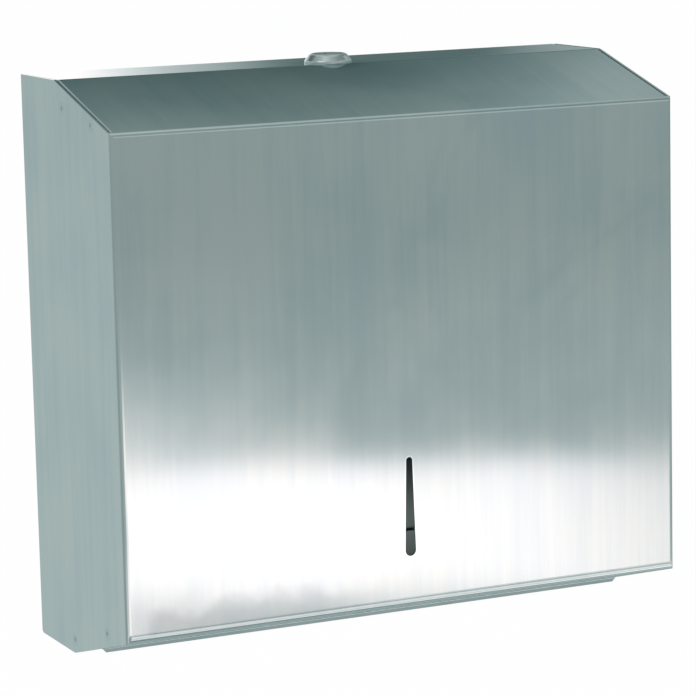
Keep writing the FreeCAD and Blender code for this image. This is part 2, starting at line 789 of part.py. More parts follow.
def make_cam_screw():
    seat = cam_washer_low()
    low = seat - cam_screw_head_height
    corners = [(0, low), (cam_screw_head_radius - cam_screw_bevel, low)]
    corners += [(cam_screw_head_radius, low + cam_screw_bevel), (cam_screw_head_radius, seat), (0, seat)]
    head = turned(corners, [0] * 5)
    shank = upright(cam_screw_radius, seat, seat + cam_screw_length)
    slot = block((-cam_screw_head_radius - beyond, lock_depth - screw_slot_width / 2, low - beyond),
                 (cam_screw_head_radius + beyond, lock_depth + screw_slot_width / 2, low + screw_slot_depth))
    return head.fuse(shank).removeSplitter().cut(slot)


guide_right, guide_left = both_sides(make_towel_guide())
parts = {
    "front_cover": make_front_cover(),
    "back_plate": make_back_plate(),
    "towel_guide_right": guide_right,
    "towel_guide_left": guide_left,
    "towel_tray": make_towel_tray(),
    "tray_rivets": make_tray_rivets(),
    "hinge_wall_leaf": make_hinge_wall_leaf(),
    "hinge_cover_leaf": make_hinge_cover_leaf(),
    "hinge_pin": make_hinge_pin(),
    "lock_strike": make_lock_strike(),
    "strike_rivets": make_strike_rivets(),
    "lock_cap": make_lock_cap(),
    "lock_housing": make_lock_housing(),
    "lock_washer": make_lock_washer(),
    "lock_nut": make_lock_nut(),
    "lock_plug": make_lock_plug(),
    "stop_washer": make_stop_washer(),
    "lock_cam": make_lock_cam(),
    "cam_washer": make_cam_washer(),
    "cam_screw": make_cam_screw(),
}

os.makedirs("parts", exist_ok=True)
for name, shape in parts.items():
    shape.exportStep("parts/" + name + ".step")
    print(name, "solids", len(shape.Solids), "valid", shape.isValid(), "volume", round(shape.Volume, 1))
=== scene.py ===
import math
import bpy
import numpy as np
from mathutils import Matrix, Vector


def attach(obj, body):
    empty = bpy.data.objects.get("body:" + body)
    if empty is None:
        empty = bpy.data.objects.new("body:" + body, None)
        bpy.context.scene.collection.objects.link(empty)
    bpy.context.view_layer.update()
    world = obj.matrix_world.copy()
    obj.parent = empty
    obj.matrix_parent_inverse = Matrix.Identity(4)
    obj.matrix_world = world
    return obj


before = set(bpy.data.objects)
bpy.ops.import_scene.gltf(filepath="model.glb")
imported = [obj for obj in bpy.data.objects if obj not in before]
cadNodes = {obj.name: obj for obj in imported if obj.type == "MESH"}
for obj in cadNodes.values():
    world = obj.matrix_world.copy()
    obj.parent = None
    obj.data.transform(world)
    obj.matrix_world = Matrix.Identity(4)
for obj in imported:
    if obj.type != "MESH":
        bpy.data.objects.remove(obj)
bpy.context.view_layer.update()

scene = bpy.context.scene
scene.view_settings.view_transform = "Standard"


# Helpers for node trees.

def addNode(tree, kind, props=None, inputs=None):
    made = tree.nodes.new("ShaderNode" + kind)
    for name, value in (props or {}).items():
        setattr(made, name, value)
    for name, value in (inputs or {}).items():
        if isinstance(value, bpy.types.NodeSocket):
            tree.links.new(value, made.inputs[name])
        else:
            made.inputs[name].default_value = value
    return made


def calc(tree, operation, first, second=0.0, clamp=False):
    props = {"operation": operation, "use_clamp": clamp}
    return addNode(tree, "Math", props, {0: first, 1: second}).outputs[0]


def plus(tree, first, second):
    return calc(tree, "ADD", first, second)


def minus(tree, first, second):
    return calc(tree, "SUBTRACT", first, second)


def larger(tree, first, second):
    return calc(tree, "MAXIMUM", first, second)


def times(tree, first, *others):
    for other in others:
        first = calc(tree, "MULTIPLY", first, other)
    return first


def ramp(tree, value, low, high, start=0.0, end=1.0, smooth=True):
    props = {"interpolation_type": "SMOOTHSTEP" if smooth else "LINEAR"}
    span = {"Value": value, "From Min": low, "From Max": high, "To Min": start, "To Max": end}
    return addNode(tree, "MapRange", props, span).outputs["Result"]


def mixValues(tree, amount, first, second):
    return addNode(tree, "Mix", {"data_type": "FLOAT"}, {0: amount, 2: first, 3: second}).outputs[0]


def blendColour(tree, amount, first, second):
    inputs = {0: amount}
    for index, value in ((6, first), (7, second)):
        inputs[index] = value if isinstance(value, bpy.types.NodeSocket) else (*value, 1.0)
    return addNode(tree, "Mix", {"data_type": "RGBA", "clamp_factor": True}, inputs).outputs[2]


def coordinate(tree, kind):
    return addNode(tree, "TexCoord").outputs[kind]


def axes(tree, kind):
    return list(addNode(tree, "SeparateXYZ", inputs={0: coordinate(tree, kind)}).outputs)


def noise(tree, place, scale, detail, **more):
    inputs = {"Vector": place, "Scale": scale, "Detail": detail, **more}
    return addNode(tree, "TexNoise", inputs=inputs).outputs[0]


def distance(tree, first, second):
    props = {"operation": "DISTANCE"}
    return addNode(tree, "VectorMath", props, {0: first, 1: second}).outputs["Value"]


def startGroup(name, inputs, outputs):
    group = bpy.data.node_groups.new(name, "ShaderNodeTree")
    for label, value in inputs.items():
        socket = group.interface.new_socket(label, in_out="INPUT", socket_type="NodeSocketFloat")
        socket.default_value = value
    for label in outputs:
        group.interface.new_socket(label, in_out="OUTPUT", socket_type="NodeSocketFloat")
    return group, group.nodes.new("NodeGroupInput"), group.nodes.new("NodeGroupOutput")


def useGroup(tree, group, **values):
    made = tree.nodes.new("ShaderNodeGroup")
    made.node_tree = group
    for name, value in values.items():
        made.inputs[name].default_value = value
    return made


# The camera stands where the photographer stood.

view = {"lens": 161.94, "place": (-0.61834, -1.36147, 0.24126),
        "right": (0.90290, -0.42929, -0.02204), "up": (0.09058, 0.13989, 0.98601)}
lens = bpy.data.cameras.new("camera")
lens.lens = view["lens"]
lens.sensor_width = 36.0
lens.clip_end = 200.0
camera = bpy.data.objects.new("camera", lens)
scene.collection.objects.link(camera)
rightward = Vector(view["right"]).normalized()
upward = (Vector(view["up"]) - Vector(view["up"]).dot(rightward) * rightward).normalized()
backward = rightward.cross(upward)
turn = Matrix((rightward, upward, backward)).transposed().to_4x4()
camera.matrix_world = Matrix.Translation(view["place"]) @ turn
scene.camera = camera
print("camera set")


# The world is white to the camera. Metal sees a grey studio with a low bright table in front of it.

# Each patch covers a span of azimuth and elevation in degrees: 0 is straight in front, +90 to the right.
patches = {
    "ground": {"azimuth": (-400, 400), "elevation": (-100, -20), "soft": (1, 6), "level": 0.75},
    "sky": {"azimuth": (-400, 400), "elevation": (48, 100), "soft": (1, 14), "level": 0.55},
    "leftWall": {"azimuth": (-170, -115), "elevation": (-60, 14), "soft": (16, 10), "level": 0.69},
    "leftUpper": {"azimuth": (-180, -140), "elevation": (-8.5, 24), "soft": (6, 4), "level": 0.62},
    "backWall": {"azimuth": (159, 182), "elevation": (-14, 16), "soft": (2, 5), "level": 1.45},
    "rightLow": {"azimuth": (60, 151.5), "elevation": (-10, 18), "soft": (1, 8), "level": 0.42},
    "darkCeiling": {"azimuth": (146, 166), "elevation": (18, 35.5), "soft": (5, 4.5), "level": 0.115},
    "darkLeft": {"azimuth": (-180, -128), "elevation": (24, 50), "soft": (3, 4), "level": 0.1},
    "darkWall": {"azimuth": (151.5, 156.5), "elevation": (-2, 30), "soft": (1, 4), "level": 0.17},
    "rightHigh": {"azimuth": (60, 144.5), "elevation": (20, 60), "soft": (1.2, 8), "level": 0.50},
    "farFloor": {"azimuth": (-60, 90), "elevation": (-30, -8.6), "soft": (10, 1.6), "level": 0.57},
    "wallBelow": {"azimuth": (100, 185), "elevation": (-86, -16), "soft": (10, 5), "level": 0.42},
    "floorShade": {"azimuth": (12, 92), "elevation": (-90, -48), "soft": (8, 4), "level": 0.40},
    "nearTable": {"azimuth": (12, 92), "elevation": (-48, -19.5), "soft": (8, 1.6), "level": 1.22},
    "tableEdge": {"azimuth": (-60, 90), "elevation": (-17, -14.5), "soft": (10, 0.3), "level": 1.05},
    "tableShade": {"azimuth": (-60, 90), "elevation": (-14.5, -13.4), "soft": (10, 0.3), "level": 0.88},
    "tableSmear": {"azimuth": (21.9, 24.2), "elevation": (-15.6, -14.1), "soft": (0.5, 0.35), "level": 0.3},
    "tableLeft": {"azimuth": (-20, 21.0), "elevation": (-13.0, -10.5), "soft": (3.0, 1.4), "level": 1.5},
    "tableCorner": {"azimuth": (-20, 21.25), "elevation": (-15.2, -13.2), "soft": (0.35, 0.4), "level": 1.45},
    "table": {"azimuth": (18, 32.0), "elevation": (-14.05, -11.65), "soft": (4.5, 0.15), "level": 1.8},
}
room = {"level": 0.47, "light": 1.05, "seam": -175.0, "variation": 0.5, "changeScale": 2.2,
        "changeSpread": (0.35, 0.65), "calmAbove": (22.0, 14.0), "calmBelow": (-30.0, -20.0),
        "calmBehind": (138, 168), "calmSoft": 6}
redShare = {"loss": 0.075, "least": 0.7, "gain": 0.36, "from": 0.7, "to": 1.75}
degrees = 180 / math.pi
world = bpy.data.worlds.new("studio")
scene.world = world
world.use_nodes = True
tree = world.node_tree
tree.nodes.clear()
east, north, high = axes(tree, "Generated")
azimuth = times(tree, calc(tree, "ARCTAN2", east, times(tree, north, -1.0)), degrees)
around = plus(tree, azimuth, times(tree, calc(tree, "LESS_THAN", azimuth, room["seam"]), 360.0))
elevation = times(tree, calc(tree, "ARCSINE", high), degrees)


def insideSpan(tree, value, span, soft):
    rising = ramp(tree, value, span[0] - soft, span[0] + soft)
    falling = ramp(tree, value, span[1] + soft, span[1] - soft)
    return times(tree, rising, falling)


level = room["level"]
for patch in patches.values():
    sideways = insideSpan(tree, around, patch["azimuth"], patch["soft"][0])
    upright = insideSpan(tree, elevation, patch["elevation"], patch["soft"][1])
    level = mixValues(tree, times(tree, sideways, upright), level, patch["level"])

# Slow changes round the room, kept away from the low band in front and the walls behind.
uneven = noise(tree, coordinate(tree, "Generated"), room["changeScale"], 2.0)
uneven = ramp(tree, uneven, *room["changeSpread"], 1.0 - room["variation"], 1.0 + room["variation"])
calm = times(tree, ramp(tree, elevation, *room["calmAbove"]), ramp(tree, elevation, *room["calmBelow"]))
calm = larger(tree, calm, insideSpan(tree, around, room["calmBehind"], room["calmSoft"]))
level = times(tree, level, mixValues(tree, calm, uneven, 1.0))

# Only metal sees the room: the camera sees white, and diffuse surfaces get plain light.
path = addNode(tree, "LightPath").outputs
metalRay = larger(tree, path["Is Glossy Ray"], path["Is Transmission Ray"])
strength = mixValues(tree, metalRay, room["light"], level)
strength = mixValues(tree, path["Is Camera Ray"], strength, 1.0)

# Dim parts of the room lack some red and bright ones have more of it.
lack = calc(tree, "SUBTRACT", 1.0, level, clamp=True)
red = minus(tree, level, times(tree, lack, redShare["loss"]))
red = larger(tree, red, times(tree, level, redShare["least"]))
red = plus(tree, red, ramp(tree, level, redShare["from"], redShare["to"], 0.0, redShare["gain"]))
red = mixValues(tree, metalRay, 1.0, calc(tree, "DIVIDE", red, level))
red = mixValues(tree, path["Is Camera Ray"], red, 1.0)
tone = addNode(tree, "CombineColor", inputs={"Red": red, "Green": 1.0, "Blue": 1.0}).outputs[0]
background = addNode(tree, "Background", inputs={"Color": tone, "Strength": strength})
addNode(tree, "OutputWorld", inputs={"Surface": background.outputs[0]})


# Floor, clear from below and not mirrored by the metal.

floor = {"half": 45.0, "height": -0.9, "colour": (0.90, 0.91, 0.91), "glow": 0.85}
half, base = floor["half"], floor["height"]
corners = [(-half, -half, base), (half, -half, base), (half, half, base), (-half, half, base)]
mesh = bpy.data.meshes.new("floor")
mesh.from_pydata(corners, [], [(0, 1, 2, 3)])
floorPiece = bpy.data.objects.new("floor", mesh)
scene.collection.objects.link(floorPiece)
paint = bpy.data.materials.new("floorPaint")
paint.use_nodes = True
tree = paint.node_tree
tree.nodes.clear()
path = addNode(tree, "LightPath").outputs
shown = larger(tree, path["Is Camera Ray"], path["Is Glossy Ray"])
shown = times(tree, larger(tree, shown, path["Is Transmission Ray"]), floor["glow"])
diffuse = addNode(tree, "BsdfDiffuse", inputs={"Color": (*floor["colour"], 1.0)}).outputs[0]
glow = addNode(tree, "Emission", inputs={"Color": (1.0, 1.0, 1.0, 1.0), "Strength": 1.0}).outputs[0]
mixed = addNode(tree, "MixShader", inputs={0: shown, 1: diffuse, 2: glow}).outputs[0]
below = addNode(tree, "NewGeometry").outputs["Backfacing"]
nothing = addNode(tree, "BsdfTransparent").outputs[0]
clear = addNode(tree, "MixShader", inputs={0: below, 1: mixed, 2: nothing}).outputs[0]
addNode(tree, "OutputMaterial", inputs={"Surface": clear})
mesh.materials.append(paint)
floorPiece.visible_glossy = False


# One lamp at the upper left.

keyLamp = {"place": (-2.2, -1.2, 2.0), "target": (0.0, -0.05, 0.0), "size": (1.6, 1.6), "radiance": 0.8}
light = bpy.data.lights.new("upperLeft", "AREA")
light.shape = "RECTANGLE"
light.size, light.size_y = keyLamp["size"]
light.energy = keyLamp["radiance"] * math.pi * math.prod(keyLamp["size"])
lamp = bpy.data.objects.new("upperLeft", light)
lamp.rotation_mode = "QUATERNION"
lamp.location = keyLamp["place"]
lamp.rotation_quaternion = (Vector(keyLamp["target"]) - Vector(keyLamp["place"])).to_track_quat("-Z", "Y")
lamp.visible_camera = False
scene.collection.objects.link(lamp)
print("stage set")


grain = {"sideFrom": 0.7, "sideShift": 3.7, "broad": 0.045, "broadStretch": 5.0,
         "cloudScale": 15.0, "waveScale": 8.0}


# Fine grain and broad streaks that run up the front and the sides and along the depth of level faces.
def makeSheetGrain():
    defaults = {"Density": 2600.0, "Stretch": 26.0}
    group, given, out = startGroup("sheetGrain", defaults, ["Fine", "Streak", "Cloud", "Wave"])
    density, stretch = given.outputs["Density"], given.outputs["Stretch"]
    x, y, z = axes(group, "Object")
    side = calc(group, "GREATER_THAN", calc(group, "ABSOLUTE", axes(group, "Normal")[0]), grain["sideFrom"])
    across = mixValues(group, side, x, y)
    along = minus(group, z, y)
    shift = times(group, side, grain["sideShift"])
    broad = times(group, density, grain["broad"])

    def stretched(wide, tall):
        inputs = {0: times(group, across, wide), 1: times(group, along, tall), 2: shift}
        return addNode(group, "CombineXYZ", inputs=inputs).outputs[0]

    place = coordinate(group, "Object")
    made = {
        "Fine": noise(group, stretched(density, stretch), 1.0, 3.0),
        "Streak": noise(group, stretched(broad, grain["broadStretch"]), 1.0, 5.0, Roughness=0.66),
        "Cloud": noise(group, place, grain["cloudScale"], 4.0, Roughness=0.5),
        "Wave": noise(group, place, grain["waveScale"], 1.0, Roughness=0.3),
    }
    for label, socket in made.items():
        group.links.new(socket, out.inputs[label])
    return group


rubbing = {"from": 0.995, "full": 0.9, "spots": (0.35, 0.62)}


# Rubbed corners: where a rounded normal leaves the true one, broken up by noise.
def makeEdgeWear():
    group, given, out = startGroup("edgeWear", {"Width": 0.0008, "Break": 220.0}, ["Wear"])
    rounded = addNode(group, "Bevel", {"samples": 4}, {"Radius": given.outputs["Width"]}).outputs[0]
    true = addNode(group, "NewGeometry").outputs["True Normal"]
    same = addNode(group, "VectorMath", {"operation": "DOT_PRODUCT"}, {0: rounded, 1: true}).outputs["Value"]
    edge = ramp(group, same, rubbing["from"], rubbing["full"])
    spots = noise(group, coordinate(group, "Object"), given.outputs["Break"], 2.0)
    group.links.new(times(group, edge, ramp(group, spots, *rubbing["spots"])), out.inputs["Wear"])
    return group


sheetGrain = makeSheetGrain()
edgeWear = makeEdgeWear()


# Tangent that lies level across each face, so that reflections spread across the grain. The upward axis leans
# a little, so that level faces have one too.
def grainTangent(tree):
    inputs = {0: (0.0, 0.01, 1.0), 1: coordinate(tree, "Normal")}
    level = addNode(tree, "VectorMath", {"operation": "CROSS_PRODUCT"}, inputs).outputs[0]
    level = addNode(tree, "VectorMath", {"operation": "NORMALIZE"}, {0: level}).outputs[0]
    props = {"vector_type": "VECTOR", "convert_from": "OBJECT", "convert_to": "WORLD"}
    return addNode(tree, "VectorTransform", props, {0: level}).outputs[0]


# A lighter, duller, less metallic coat, thickest low in the compartment, on faces that aren't turned to the
# wall or down. It is partly painted light: the lighter colour low down stands in for light that comes in
# through the towel mouth, and the duller finish takes real light there.
def coatAndPaintedLightMask(tree, coatAndLight):
    patchy = noise(tree, coordinate(tree, "Object"), coatAndLight["scale"], 4.0)
    shift = times(tree, minus(tree, patchy, 0.5), coatAndLight["patchy"])
    height = plus(tree, axes(tree, "Object")[2], shift)
    amount = ramp(tree, height, coatAndLight["high"], coatAndLight["low"], 0.0, coatAndLight["amount"])
    facing = axes(tree, "Normal")
    reached = times(tree, ramp(tree, facing[1], *coatAndLight["wallward"]), ramp(tree, facing[2], *coatAndLight["downward"]))
    return times(tree, amount, reached)


roughSpread = {"noise": (0.3, 0.7), "least": 0.88, "most": 1.14}


def makeMetal(name, look, extraHeight=None, extraShades=(), coatAndLight=None):
    metal = bpy.data.materials.new(name)
    metal.use_nodes = True
    tree = metal.node_tree
    tree.nodes.clear()
    pattern = useGroup(tree, sheetGrain, Density=look["density"], Stretch=look["stretch"]).outputs
    wear = useGroup(tree, edgeWear, Width=look["wearWidth"]).outputs["Wear"]
    vary = times(tree, pattern["Streak"], look["streakShade"])
    vary = plus(tree, vary, times(tree, pattern["Cloud"], 1.0 - look["streakShade"]))
    colour = blendColour(tree, ramp(tree, vary, *look["spread"]), look["dark"], look["light"])
    colour = blendColour(tree, times(tree, wear, look["wear"]), colour, look["worn"])
    for extra in extraShades:
        amount, shade = extra(tree)
        colour = blendColour(tree, amount, colour, shade)
    least, most = look["roughness"] * roughSpread["least"], look["roughness"] * roughSpread["most"]
    rough = ramp(tree, pattern["Cloud"], *roughSpread["noise"], least, most)
    metallic = 1.0
    # The lower coat: partly painted light, a lighter colour low down, and a duller, less metallic finish.
    if coatAndLight:
        amount = coatAndPaintedLightMask(tree, coatAndLight)
        colour = blendColour(tree, amount, colour, coatAndLight["colour"])
        rough = mixValues(tree, amount, rough, coatAndLight["roughness"])
        metallic = minus(tree, 1.0, amount)
    height = times(tree, pattern["Fine"], look["grainHeight"])
    height = plus(tree, height, times(tree, pattern["Wave"], look["waveHeight"]))
    if extraHeight:
        height = plus(tree, height, extraHeight(tree))
    bump = addNode(tree, "Bump", inputs={"Strength": 1.0, "Distance": 1.0, "Height": height}).outputs[0]
    shader = addNode(tree, "BsdfPrincipled", inputs={"Base Color": colour, "Metallic": metallic,
                                                     "Roughness": rough, "Normal": bump})
    shader.inputs["Specular Tint"].default_value = (*look["edgeTint"], 1.0)
    if look["anisotropy"]:
        shader.inputs["Anisotropic"].default_value = look["anisotropy"]
        tree.links.new(grainTangent(tree), shader.inputs["Tangent"])
    addNode(tree, "OutputMaterial", inputs={"Surface": shader.outputs[0]})
    return metal


# In metres: the side panels are beyond sidePanel, left and right, and the front is before frontFace.
sidePanel = 0.1385
frontFace = -0.1095


# Where the welded flanges behind the side panels show through: depth and height of each mark, in metres.
weldMarks = {"places": ((-0.0534, 0.1195), (-0.0886, 0.1145), (-0.0452, -0.1250), (-0.0869, -0.1127)),
             "radius": 0.0016, "core": 0.35, "ring": 0.0042, "ragged": 0.0014, "noiseScale": 900.0,
             "dent": 0.00012, "spotShade": 0.62, "ringShade": 0.12}


# Two masks over the side panels: the marks themselves and the rubbed ring round each.
def weldMasks(tree):
    x, y, z = axes(tree, "Object")
    flat = addNode(tree, "CombineXYZ", inputs={1: y, 2: z}).outputs[0]
    onSide = calc(tree, "GREATER_THAN", calc(tree, "ABSOLUTE", x), sidePanel)
    nearest = 1.0
    for depth, height in weldMarks["places"]:
        nearest = calc(tree, "MINIMUM", distance(tree, flat, (0.0, depth, height)), nearest)
    ragged = noise(tree, coordinate(tree, "Object"), weldMarks["noiseScale"], 2.0)
    nearest = plus(tree, nearest, times(tree, minus(tree, ragged, 0.5), weldMarks["ragged"]))
    spot = ramp(tree, nearest, weldMarks["radius"], weldMarks["radius"] * weldMarks["core"])
    ring = ramp(tree, nearest, weldMarks["ring"], weldMarks["radius"])
    return times(tree, spot, onSide), times(tree, ring, onSide)


# Painted shade round the lock: a ring of darker colour on the cover that dims the lock's reflection there.
lockShadeRing = {"centre": (0.0, -0.0335, 0.1315), "inner": 0.0115, "outer": 0.0215, "strength": 0.45,
            "colour": (0.19, 0.24, 0.24)}


# Darker steel: weld marks, and painted shade in a ring round the lock that dims the lock's reflection in the
# cover.
def weldMarksAndLockShade(tree):
    spot, ring = weldMasks(tree)
    shade = larger(tree, times(tree, spot, weldMarks["spotShade"]), times(tree, ring, weldMarks["ringShade"]))
    away = distance(tree, coordinate(tree, "Object"), lockShadeRing["centre"])
    # Painted shade: darker in a ring round the lock.
    lockShadeAmount = ramp(tree, away, lockShadeRing["outer"], lockShadeRing["inner"], 0.0, lockShadeRing["strength"])
    return larger(tree, shade, lockShadeAmount), lockShadeRing["colour"]


slotRim = {"low": -0.0865, "high": -0.04475, "lowHalf": 0.00275, "highHalf": 0.0015, "width": 0.0010}


# Distance in metres outside the tapered slot, which is that from its axis less the half width there, and a
# mask of the front.
def slotDistance(tree):
    x, y, z = axes(tree, "Object")
    share = ramp(tree, z, slotRim["low"], slotRim["high"], smooth=False)
    half = plus(tree, times(tree, share, slotRim["highHalf"] - slotRim["lowHalf"]), slotRim["lowHalf"])
    axis = plus(tree, times(tree, share, slotRim["high"] - slotRim["low"]), slotRim["low"])
    aside = addNode(tree, "CombineXYZ", inputs={0: x, 2: minus(tree, z, axis)}).outputs[0]
    away = addNode(tree, "VectorMath", {"operation": "LENGTH"}, {0: aside}).outputs["Value"]
    return minus(tree, away, half), calc(tree, "LESS_THAN", y, frontFace)


smudges = {"scale": 9.0, "twist": 1.4, "from": 0.56, "to": 0.70, "strength": 0.34,
           "colour": (0.45, 0.555, 0.56)}


# Faint stains that a damp cloth leaves, where slow twisted noise is high.
def smudgeMarks(tree):
    place = coordinate(tree, "Object")
    stain = noise(tree, place, smudges["scale"], 4.0, Roughness=0.55, Distortion=smudges["twist"])
    return ramp(tree, stain, smudges["from"], smudges["to"], 0.0, smudges["strength"]), smudges["colour"]


# Each span says where the patch starts and where it is full.
lowDarkPatch = {"top": (-0.0945, -0.1045), "left": (-0.133, -0.125), "right": (-0.002, -0.054),
              "bottom": (-0.1102, -0.1092), "ragged": 0.02, "scale": 55.0, "strength": 0.55,
              "colour": (0.33, 0.40, 0.41)}


# A darker patch low on the left of the front, with a ragged upper edge.
def lowDarkPatchMarks(tree):
    x, y, z = axes(tree, "Object")
    ragged = noise(tree, coordinate(tree, "Object"), lowDarkPatch["scale"], 3.0)
    shift = times(tree, minus(tree, ragged, 0.5), lowDarkPatch["ragged"])
    amount = ramp(tree, plus(tree, z, shift), *lowDarkPatch["top"], 0.0, lowDarkPatch["strength"])
    across = plus(tree, x, shift)
    ends = times(tree, ramp(tree, across, *lowDarkPatch["left"]), ramp(tree, across, *lowDarkPatch["right"]))
    amount = times(tree, amount, ends, ramp(tree, z, *lowDarkPatch["bottom"]))
    return times(tree, amount, calc(tree, "LESS_THAN", y, frontFace)), lowDarkPatch["colour"]


# Painted highlights on the cover: lighter colour on its long bends and round the slot.
paintedHighlight = {"forward": (-0.3, -0.5), "turnedUp": (0.12, 0.34), "above": 0.3, "turnedDown": (-0.12, -0.34),
           "below": 0.85, "rim": 0.7, "colour": (0.76, 0.88, 0.88)}


# Painted highlights: lighter colour on the long bends above and below the front and on the rim of the slot.
def paintedHighlightMarks(tree):
    facing = axes(tree, "Normal")
    turned = plus(tree, ramp(tree, facing[2], *paintedHighlight["turnedUp"], 0.0, paintedHighlight["above"]),
                  ramp(tree, facing[2], *paintedHighlight["turnedDown"], 0.0, paintedHighlight["below"]))
    bends = times(tree, ramp(tree, facing[1], *paintedHighlight["forward"]), turned)
    away, front = slotDistance(tree)
    rim = times(tree, ramp(tree, away, slotRim["width"], 0.0, 0.0, paintedHighlight["rim"]), front)
    return larger(tree, bends, rim), paintedHighlight["colour"]


edgeRoll = {"start": -0.1084, "reach": 0.002, "fall": 0.0001, "besides": (0.7, 0.4)}


# Height in metres by which the front rolls back into its lower bend: a parabola, then straight on round it.
def rollHeight(tree):
    low = axes(tree, "Object")[2]
    bend = edgeRoll["start"] - edgeRoll["reach"]
    curve = ramp(tree, low, edgeRoll["start"], bend, smooth=False)
    curve = times(tree, curve, curve, edgeRoll["fall"])
    straight = ramp(tree, low, bend, bend - edgeRoll["reach"], 0.0, 2 * edgeRoll["fall"], smooth=False)
    aside = calc(tree, "ABSOLUTE", axes(tree, "Normal")[0])
    return times(tree, plus(tree, curve, straight), ramp(tree, aside, *edgeRoll["besides"]))


slopeCrown = {"back": -0.0445, "front": -0.111, "height": 0.00022}


# Height in metres of the slopes' crown between ridge and front edge: a parabola.
def crownHeight(tree):
    slope = calc(tree, "GREATER_THAN", calc(tree, "ABSOLUTE", axes(tree, "Normal")[2]), 0.5)
    depth = axes(tree, "Object")[1]
    where = ramp(tree, depth, slopeCrown["back"], slopeCrown["front"], -1.0, 1.0, smooth=False)
    return times(tree, minus(tree, 1.0, times(tree, where, where)), slope, slopeCrown["height"])


lipLean = {"back": -0.0640, "front": -0.0666, "middle": -0.1263, "lean": 0.06, "forward": (-0.7, -0.9)}


# Height in metres by which the sprung lip under the front leans back: it grows evenly with height.
def lipHeight(tree):
    depth, height = axes(tree, "Object")[1:]
    onLip = times(tree, calc(tree, "LESS_THAN", depth, lipLean["back"]),
                  calc(tree, "GREATER_THAN", depth, lipLean["front"]),
                  ramp(tree, axes(tree, "Normal")[1], *lipLean["forward"]))
    return times(tree, minus(tree, height, lipLean["middle"]), onLip, lipLean["lean"])


# Height in metres of the cover's shallow forms.
def coverHeight(tree):
    dents = times(tree, weldMasks(tree)[0], weldMarks["dent"])
    height = minus(tree, minus(tree, crownHeight(tree), dents), rollHeight(tree))
    return minus(tree, height, lipHeight(tree))


# Partly painted light: a lighter, duller coat low in the compartment.
coatAndPaintedLight = {"low": -0.100, "high": -0.068, "patchy": 0.008, "scale": 70.0, "wallward": (0.5, 0.2),
             "downward": (-0.5, -0.1), "amount": 0.85, "colour": (0.68, 0.80, 0.78), "roughness": 0.8}
baseLook = {"wear": 0.6, "wearWidth": 0.0004, "streakShade": 0.3, "spread": (0.3, 0.7),
            "edgeTint": (1.0, 1.0, 1.0), "anisotropy": 0.0, "waveHeight": 0.0}
looks = {
    "coverSteel": {"dark": (0.497, 0.602, 0.616), "light": (0.574, 0.668, 0.656), "worn": (0.72, 0.77, 0.76),
                   "wear": 0.35, "wearWidth": 0.0006, "density": 2600.0, "stretch": 26.0, "streakShade": 0.45,
                   "spread": (0.36, 0.64), "roughness": 0.105, "edgeTint": (0.86, 0.94, 0.94),
                   "anisotropy": 0.95, "grainHeight": 0.0000012, "waveHeight": 0.00022},
    "sheetSteel": {"dark": (0.51, 0.61, 0.60), "light": (0.59, 0.68, 0.665), "worn": (0.70, 0.73, 0.72),
                   "wear": 0.5, "wearWidth": 0.0005, "density": 2000.0, "stretch": 40.0, "streakShade": 0.5,
                   "roughness": 0.38, "edgeTint": (0.9, 1.0, 1.0), "anisotropy": 0.5,
                   "grainHeight": 0.0000015, "waveHeight": 0.00004},
    "drawnSteel": {"dark": (0.47, 0.52, 0.51), "light": (0.57, 0.61, 0.60), "worn": (0.70, 0.73, 0.72),
                   "wearWidth": 0.0003, "density": 3500.0, "stretch": 300.0, "roughness": 0.24,
                   "edgeTint": (0.9, 1.0, 1.0), "grainHeight": 0.000001},
    "rivetSteel": {"dark": (0.48, 0.50, 0.49), "light": (0.60, 0.61, 0.60), "worn": (0.72, 0.73, 0.72),
                   "wearWidth": 0.0003, "density": 1500.0, "stretch": 900.0, "roughness": 0.3,
                   "grainHeight": 0.000002},
    "lockChrome": {"dark": (0.54, 0.63, 0.62), "light": (0.61, 0.69, 0.68), "worn": (0.76, 0.78, 0.77),
                   "wear": 0.4, "density": 900.0, "stretch": 500.0, "streakShade": 0.2, "roughness": 0.27,
                   "edgeTint": (0.9, 1.0, 1.0), "grainHeight": 0.0000008},
    "castPlate": {"dark": (0.42, 0.43, 0.42), "light": (0.54, 0.55, 0.53), "worn": (0.66, 0.66, 0.62),
                  "density": 1200.0, "stretch": 1200.0, "streakShade": 0.2, "roughness": 0.34,
                  "grainHeight": 0.000004},
    "zincPlate": {"dark": (0.50, 0.50, 0.42), "light": (0.62, 0.60, 0.50), "worn": (0.66, 0.67, 0.66),
                  "density": 1500.0, "stretch": 600.0, "roughness": 0.3, "grainHeight": 0.000002},
    "weldTint": {"dark": (0.30, 0.27, 0.22), "light": (0.46, 0.44, 0.40), "worn": (0.6, 0.6, 0.58),
                 "wear": 0.3, "wearWidth": 0.0003, "density": 1500.0, "stretch": 900.0, "roughness": 0.42,
                 "grainHeight": 0.000003},
}
